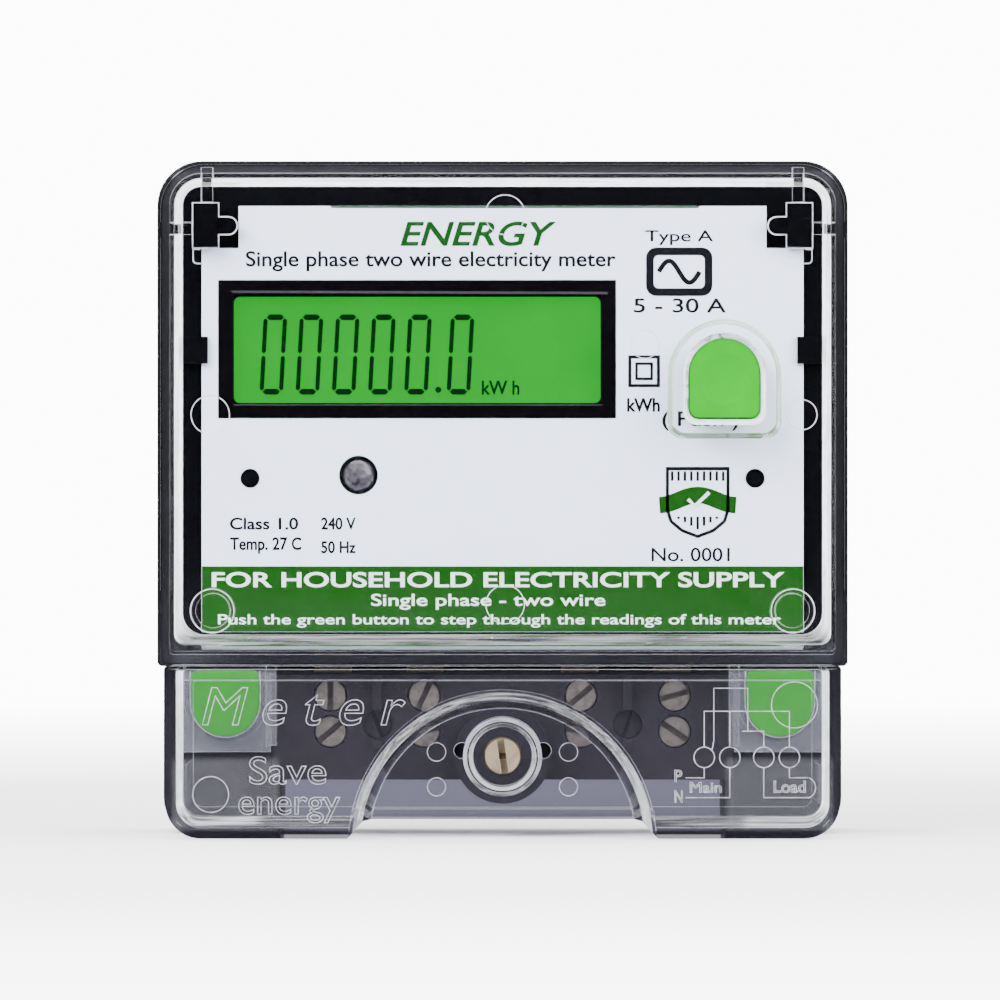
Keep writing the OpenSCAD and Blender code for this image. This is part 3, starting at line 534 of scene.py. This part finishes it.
def grown(points, centre, factor):
    return [(centre[0] + (x - centre[0]) * factor, centre[1] + (z - centre[1]) * factor) for x, z in points]


# ---------------------------------------------------------------- printing on the plate
plate_low, plate_high = (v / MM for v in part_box("nameplate"))
INK_Y = plate_low.y - 0.01
OVER_Y = INK_Y - 0.05


def double_square():
    """Sign of a double-insulated device: one square in another."""
    cx, cz = 22.2, 20.2
    parts = []
    for half, line in ((2.5, 0.5), (1.4, 0.42)):
        inner = half - line
        hole = rectangle(cx - inner, cx + inner, cz - inner, cz + inner)
        parts.append(plate(rectangle(cx - half, cx + half, cz - half, cz + half), INK_Y, holes=[hole]))
    return parts


def wave_sign():
    """Frame with a wave in it: alternating current."""
    hole = rectangle(23.7, 31.7, 33.2, 38.4, 0.8)
    wave = [(24.5 + 6.4 * i / 24, 35.8 + 1.7 * math.sin(math.radians(15 * i))) for i in range(25)]
    return [plate(rectangle(22.5, 32.9, 32.0, 39.6, 1.6), INK_Y, holes=[hole]), ribbon(wave, 0.75)]


def print_black():
    """Rows of text, each with its box x0, x1, z0, z1 and the tubes' radius, and the black signs."""
    rows = [
        ("Single phase two wire electricity meter", -40.2, 17.7, 35.9, 39.0, 0.06),
        ("Type A", 22.4, 33.0, 40.0, 42.3, 0.035),
        ("5 - 30 A", 20.6, 35.0, 29.4, 31.6, 0.045),
        ("kWh", 19.6, 24.6, 13.9, 15.9, 0.08),
        ("( Push )", 25.1, 37.0, 10.9, 13.9, 0.05),
        ("Class 1.0", -42.7, -32.1, -4.6, -2.8, 0.065),
        ("240 V", -28.4, -23.1, -4.6, -2.8, 0.065),
        ("Temp. 27 C", -42.7, -31.6, -8.4, -5.9, 0.065),
        ("50 Hz", -28.4, -23.1, -8.3, -6.5, 0.065),
        ("No. 0001", 23.4, 35.6, -9.6, -7.5, 0.04),
    ]
    parts = [mesh for t, x0, x1, z0, z1, swell in rows for mesh in heavy(t, x0, x1, z0, z1, INK_Y, swell)]
    parts += double_square() + wave_sign() + shield_black()
    return piece("print_black", parts, "ink_black", CASE)


def ribbon(points, width, y=INK_Y):
    """A flat stripe of that width along (x, z) points."""
    left, right = [], []
    for i, (x, z) in enumerate(points):
        x0, z0 = points[max(i - 1, 0)]
        x1, z1 = points[min(i + 1, len(points) - 1)]
        size = math.hypot(x1 - x0, z1 - z0)
        nx, nz = -(z1 - z0) / size * width / 2, (x1 - x0) / size * width / 2
        left.append((x + nx, z + nz))
        right.append((x - nx, z - nz))
    return plate(left + right[::-1], y)


SHIELD = (30.6, -0.4)


def shield_outline(factor=1.0):
    cx, cz = SHIELD
    top = [(cx - 5.0, cz + 5.6), (cx + 5.0, cz + 5.6)]
    side = [(cx + 5.0, cz - 1.2), (cx + 4.4, cz - 3.1), (cx + 2.6, cz - 4.6), (cx, cz - 5.6)]
    points = top + side + [(2 * cx - x, z) for x, z in side[-2::-1]]
    return grown(points, SHIELD, factor)


def shield_black():
    """The shield's frame, with short bars inside its upper and lower edges."""
    cx, cz = SHIELD
    parts = [plate(shield_outline(), INK_Y, holes=[shield_outline(0.9)])]
    for i in range(9):
        x = cx - 4.0 + i
        parts.append(plate(rectangle(x - 0.2, x + 0.2, cz + 3.4, cz + 4.9), INK_Y))
        drop = 4.2 - abs(i - 4) * 0.55
        if drop > 2.4:
            parts.append(plate(rectangle(x - 0.2, x + 0.2, cz - drop, cz - 2.2), INK_Y))
    return parts


def print_green():
    cx, cz = SHIELD
    turns = [18 * i - 90 for i in range(21)]
    banner = [(cx - 6.0 + 0.6 * i, cz + 0.4 + 0.8 * math.sin(math.radians(a))) for i, a in enumerate(turns)]
    parts = [
        plate(rectangle(plate_low.x + 0.05, plate_high.x - 0.05, plate_low.z + 0.05, -10.4), INK_Y),
        plate(rectangle(-26.9, 30.8, plate_high.z - 0.3, plate_high.z - 0.02), INK_Y),
        ribbon(banner, 2.6),
    ]
    return piece("print_green", parts, "ink_green", CASE)


def print_title():
    parts = heavy("ENERGY", -15.9, 8.2, 39.9, 43.6, INK_Y, 0.1, slant=0.25)
    return piece("print_title", parts, "ink_title", CASE)


def print_white():
    """Text and tick on top of the green, each row with its box and how much bolder it is."""
    rows = [
        ("FOR HOUSEHOLD ELECTRICITY SUPPLY", -45.6, 44.2, -13.7, -11.3, 0.02),
        ("Single phase - two wire", -20.6, 16.1, -17.2, -14.7, 0.012),
        ("Push the green button to step through the readings of this meter", -44.6, 43.6, -20.0, -17.9, 0.01),
    ]
    parts = [lettering(t, x0, x1, z0, z1, OVER_Y, bold=b) for t, x0, x1, z0, z1, b in rows]
    cx, cz = SHIELD
    tick = [(cx - 1.5, cz + 0.5), (cx - 0.4, cz - 0.5), (cx + 1.8, cz + 1.6)]
    parts.append(ribbon(tick, 0.55, OVER_Y))
    return piece("print_white", parts, "ink_white", CASE)


# ---------------------------------------------------------------- display segments
FILM = 0.03     # thickness of a segment


def segment_bar(x0, z0, x1, z1, width):
    """A segment with pointed ends from one point to the other."""
    size = math.hypot(x1 - x0, z1 - z0)
    ux, uz = (x1 - x0) / size, (z1 - z0) / size
    w = width / 2
    along = [(0, 0), (w, w), (size - w, w), (size, 0), (size - w, -w), (w, -w)]
    return [(x0 + ux * a - uz * b, z0 + uz * a + ux * b) for a, b in along]


def zero(left, foot, tall=11.7, wide=3.05, lean=0.055, gap=0.14):
    """Outlines of the six segments of a leaning 0 that stands at left, foot."""
    def at(u, v):
        return left + u * wide + v * tall * lean, foot + v * tall

    bars = []
    for (u0, v0), (u1, v1) in (((0, 1), (1, 1)), ((0, 0), (1, 0)), ((0, 0), (0, 0.5)), ((0, 0.5), (0, 1)),
                               ((1, 0), (1, 0.5)), ((1, 0.5), (1, 1))):
        (x0, z0), (x1, z1) = at(u0, v0), at(u1, v1)
        size = math.hypot(x1 - x0, z1 - z0)
        dx, dz = (x1 - x0) / size * gap, (z1 - z0) / size * gap
        stroke = 0.9 if v0 == v1 else 0.66
        bars.append(segment_bar(x0 + dx, z0 + dz, x1 - dx, z1 - dz, stroke))
    return bars


def segments():
    """The reading 00000.0 and its unit."""
    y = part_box("lcd_glass")[0].y / MM - 0.02
    first, pitch, decimal_space, foot = -37.85, 5.68, 1.0, 17.0
    parts = []
    for digit in range(6):
        left = first + pitch * digit + (decimal_space if digit == 5 else 0.0)
        parts += [plate(bar, y, FILM) for bar in zero(left, foot)]
    parts.append(plate(arc(-10.1, 17.3, 0.48, 0, 345, 23), y, FILM))
    parts += heavy("kW h", -3.2, 2.6, 16.6, 18.7, y, 0.05)
    return piece("display_segments", parts, "segment", CASE)


# ---------------------------------------------------------------- engraving on the covers
FACE_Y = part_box("terminal_cover")[0].y / MM
RECESS_Y = -36.0                        # face of the arched recess


def wiring_diagram():
    """Four terminals as rings, the lines above them to the meter and the lines below to mains and load."""
    y, r = FACE_Y, 0.09
    x = [31.5, 35.5, 40.8, 44.8]
    z = -40.2
    parts = [ring(v, z, 1.6, y, r) for v in x]
    routes = [
        [(x[0], z + 1.6), (x[0], -33.0), (x[3], -33.0), (x[3], z + 1.6)],
        [(x[0] + 1.2, z + 1.1), (33.0, -37.6), (33.0, -29.4), (38.3, -29.4), (38.3, -36.0)],
        [(x[1], z + 1.6), (x[1], -33.0)],
        [(x[2], z + 1.6), (x[2], -36.1), (37.4, -36.1)],
        [(x[0], z - 1.6), (x[0], -43.4), (28.6, -43.4)],
        [(x[1], z - 1.6), (x[1], -46.5), (28.6, -46.5)],
        [(x[2], z - 1.6), (x[2], -46.5), (48.0, -46.5)],
        [(x[3], z - 1.6), (x[3], -43.4), (47.7, -43.4)],
        arc(47.2, -44.95, 1.7, -66, 66, 10),
    ]
    parts += [wire(route, y, r) for route in routes]
    for text, x0, x1, z0, z1 in (("P", 26.9, 28.0, -44.0, -42.2), ("N", 26.9, 28.1, -47.2, -45.4),
                                 ("Main", 29.3, 34.2, -45.7, -44.1), ("Load", 42.4, 47.3, -45.7, -43.9)):
        parts.append(lettering(text, x0, x1, z0, z1, y, outline=0.06))
    return parts


def cover_engraving():
    """Words, wiring diagram and moulding rings on the front of the terminal cover."""
    parts = wiring_diagram()
    for text, x0, x1, z0, z1, slant in (("M e t e r", -46.9, -15.2, -35.2, -29.3, 0.25),
                                        ("Save", -39.5, -27.6, -44.4, -40.1, 0.0),
                                        ("energy", -41.2, -25.4, -50.4, -46.4, 0.0)):
        parts.append(lettering(text, x0, x1, z0, z1, FACE_Y, slant=slant, outline=0.07))
    parts += [ring(-45.6, -46.0, 2.8, FACE_Y), ring(45.6, -32.0, 3.6, FACE_Y)]
    parts += [ring(x, z, 1.45, RECESS_Y) for x in (-10.4, 10.4) for z in (-39.7, -45.2)]
    return piece("cover_engraving", parts, "engraving", COVER)


def ejector_marks():
    """Faint rings that the mould's ejector pins leave on the upper cover, drawn light grey as a painted edge
    highlight.
    """
    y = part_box("top_cover")[0].y / MM + 2.1
    spots = [(-45.6, 13.3, 3.0), (46.7, 13.3, 2.35), (0.4, 44.5, 3.1), (22.2, 24.3, 2.2), (0.4, -16.3, 3.0),
             (-45.3, -17.3, 3.4), (45.3, -17.3, 3.4)]
    parts = [ring(x, z, r, y, 0.06) for x, z, r in spots]
    return piece("ejector_marks", parts, "edge_highlight", CASE)


def hook_edges():
    """Painted highlights along the edges of the clear ribs around each corner hook."""
    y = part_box("dial_frame")[0].y / MM - 0.4
    finger = [(44.4, 44.3), (42.9, 44.3), *arc(42.9, 42.9, 1.4, 110, 250, 10), (42.9, 41.5), (44.4, 41.5)]
    block = [(44.4, 39.4), (48.5, 39.4), (48.5, 46.5), (44.4, 46.5), *finger]
    parts = [wire([(side * x, z) for x, z in block], y, 0.13, closed=True) for side in (-1, 1)]
    loop = [(47.3, 39.2), (48.4, 39.2), (48.4, 37.6), *arc(47.8, 37.6, 0.6, 0, -90, 6), (47.2, 37.0)]
    parts += [wire([(side * x, z) for x, z in loop], y, 0.11) for side in (-1, 1)]
    return piece("hook_edges", parts, "edge_highlight", CASE)


def plug_edges():
    """Painted highlight along the edge of the ear around each green plug."""
    low, high = (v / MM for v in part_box("seal_plug_right"))
    middle, half = (low.x + high.x) / 2, (high.x - low.x) / 2 + 0.15
    bend = low.z + half - 0.15
    shape = [(middle - half, high.z), *arc(middle, bend, half, 180, 360), (middle + half, high.z)]
    parts = [wire([(side * x, z) for x, z in shape], low.y + 0.2, 0.12) for side in (-1, 1)]
    return piece("plug_edges", parts, "edge_highlight", CASE)


def display_edge():
    """Grey stripes along the upper edge of the display's black frame and, thinner, along its foot: a painted
    highlight.
    """
    low, high = (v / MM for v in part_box("display_bezel"))
    top = [(low.x + 2.0, high.z - 1.75), (high.x - 1.2, high.z - 1.95)]
    foot = [(low.x + 2.3, low.z + 2.0), (high.x - 2.0, low.z + 2.0)]
    parts = [ribbon(top, 0.4, low.y - 0.01), ribbon(foot, 0.2, low.y - 0.01)]
    return piece("display_edge", parts, "painted_bezel_highlight", CASE)


for make in (print_black, print_green, print_title, print_white, segments, cover_engraving, ejector_marks,
             hook_edges, plug_edges, display_edge):
    make()


# ---------------------------------------------------------------- springs
def coil(radius, thick, length, turns, place):
    """Compression spring along +Z with closed ends, wire radius thick, then moved by place."""
    curve = bpy.data.curves.new("coil", "CURVE")
    curve.dimensions, curve.bevel_depth, curve.bevel_resolution = "3D", thick * MM, 2
    curve.use_fill_caps = True
    spline = curve.splines.new("POLY")
    steps = 28
    spline.points.add(turns * steps)
    for i, point in enumerate(spline.points):
        s = i / steps
        open_part = (length - 6 * thick) * min(max(s - 1, 0), turns - 2) / (turns - 2)
        z = thick + open_part + 2 * thick * (min(s, 1) + max(s - turns + 1, 0))
        angle = 2 * math.pi * s
        point.co = (radius * math.cos(angle) * MM, radius * math.sin(angle) * MM, z * MM, 1)
    return evaluated(curve, place)


def button_spring():
    """Return spring between the case and the push button, whose travel is 1.5 mm."""
    length = 5.1
    base = Vector((34.6, -39.6, 18.9)) * MM
    spring = piece("push_button_spring", [coil(2.6, 0.22, length, 5, Matrix.Translation(base) @ FACING)],
                   "spring_steel", CASE)
    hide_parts("button_spring")
    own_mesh(spring)


def latch_spring():
    """Spring that holds the rail latch up, whose travel is 4.5 mm."""
    length = 11
    base = Vector((0, -3.3, -34)) * MM
    spring = piece("rail_latch_spring", [coil(1.3, 0.2, length, 8, Matrix.Translation(base))],
                   "spring_steel", CASE)
    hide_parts("latch_spring")
    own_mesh(spring)


button_spring()
latch_spring()


# ---------------------------------------------------------------- stage, light and camera
FLOOR = (0.9, 0.9, 0.91)


def floor():
    """Pale floor that fades into the background with distance. As painted shade it is dark to mirrored rays
    and to those that come through a clear part."""
    level = cad_box[0].z - 0.2 * MM
    bpy.ops.mesh.primitive_circle_add(vertices=96, radius=3.0, fill_type="NGON", location=(0, 0, level))
    ground = bpy.context.object
    ground.name = "floor"
    s = Shader("pale_floor")
    s.set(Base_Color=s.ramp(s.noise(0.3, 3), [(0.3, shade(FLOOR, 0.985)), (0.7, FLOOR)]), Roughness=0.7)
    away = s.add("ShaderNodeVectorMath", {0: s.coordinates}, operation="LENGTH").outputs["Value"]
    thin = s.spread(away, 0.0, 1.0, 0.2, 0.8)
    air = s.add("ShaderNodeBsdfTransparent").outputs[0]
    fade = s.add("ShaderNodeMixShader", {0: thin, 1: s.principled.outputs[0], 2: air})
    # Painted shade: the dim grey floor seen in reflections and through clear parts stands in for the shaded
    # wall behind the meter
    dim = s.add("ShaderNodeBsdfDiffuse", {"Color": rgba((0.085, 0.085, 0.11))})
    ray = s.add("ShaderNodeLightPath").outputs
    indirect = s.maths("MAXIMUM", ray["Is Transmission Ray"], ray["Is Glossy Ray"])
    through = s.add("ShaderNodeMixShader", {0: indirect, 1: fade.outputs[0], 2: dim.outputs[0]})
    s.tree.links.new(through.outputs[0], s.output.inputs["Surface"])
    ground.data.materials.append(s.material)


def world():
    """White studio, brighter to the camera than as a lamp. As a lamp it has a dark patch in front of the
    meter, so that black parts stay black, and a grey one behind it."""
    sky = bpy.data.worlds.new("studio")
    bpy.context.scene.world = sky
    sky.use_nodes = True
    nodes, link = sky.node_tree.nodes, sky.node_tree.links.new
    nodes.clear()
    where = nodes.new("ShaderNodeTexCoord")
    split = nodes.new("ShaderNodeSeparateXYZ")
    along = nodes.new("ShaderNodeMapRange")
    patches = nodes.new("ShaderNodeValToRGB")
    lamp, seen = nodes.new("ShaderNodeBackground"), nodes.new("ShaderNodeBackground")
    path = nodes.new("ShaderNodeLightPath")
    mix = nodes.new("ShaderNodeMixShader")
    out = nodes.new("ShaderNodeOutputWorld")
    along.inputs["From Min"].default_value = -1.0
    stops = patches.color_ramp.elements
    stops[0].position, stops[0].color = 0.015, rgba((0.008, 0.008, 0.008))
    stops[1].position, stops[1].color = 0.985, rgba((0.3, 0.3, 0.31))
    for position in (0.14, 0.9):
        stops.new(position).color = rgba((1, 1, 1))
    lamp.inputs["Strength"].default_value = 2.6
    seen.inputs["Strength"].default_value = 16.0
    link(where.outputs["Generated"], split.inputs[0])
    link(split.outputs["Y"], along.inputs["Value"])
    link(along.outputs["Result"], patches.inputs["Fac"])
    link(patches.outputs["Color"], lamp.inputs["Color"])
    link(path.outputs["Is Camera Ray"], mix.inputs[0])
    link(lamp.outputs[0], mix.inputs[1])
    link(seen.outputs[0], mix.inputs[2])
    link(mix.outputs[0], out.inputs[0])


def softbox(name, place, size, power):
    """Rectangular lamp that shines at the origin and isn't seen itself."""
    data = bpy.data.lights.new(name, "AREA")
    data.shape, data.size, data.size_y, data.energy = "RECTANGLE", size[0], size[1], power
    lamp = bpy.data.objects.new(name, data)
    lamp.location = place
    lamp.rotation_euler = (-Vector(place)).to_track_quat("-Z", "Y").to_euler()
    lamp.visible_camera = False
    lamp.visible_transmission = False
    bpy.context.collection.objects.link(lamp)


def camera():
    """Straight in front, with a long lens, view_width of which fits the picture at the meter's face."""
    far = 1.2
    view_width = 156 * MM
    face, aside = -48 * MM, -0.4 * MM
    data = bpy.data.cameras.new("camera")
    data.sensor_width = 36
    data.lens = data.sensor_width * far / view_width
    data.clip_start, data.clip_end = 0.01, 50
    eye = bpy.data.objects.new("camera", data)
    eye.location = (aside, face - far, 0.0)
    eye.rotation_euler = (math.radians(90), 0, 0)
    bpy.context.collection.objects.link(eye)
    bpy.context.scene.camera = eye


floor()
world()
softbox("key", (-0.55, -0.75, 0.65), (0.6, 0.6), 31.5)
softbox("fill", (0.65, -0.7, 0.35), (0.6, 0.6), 21)
for side, name in ((-1, "rim_left"), (1, "rim_right")):
    softbox(name, (side * 0.5, 0.12, 0.05), (0.35, 0.5), 2.5)
softbox("rim_top", (0, 0.12, 0.5), (0.6, 0.35), 2.5)
camera()
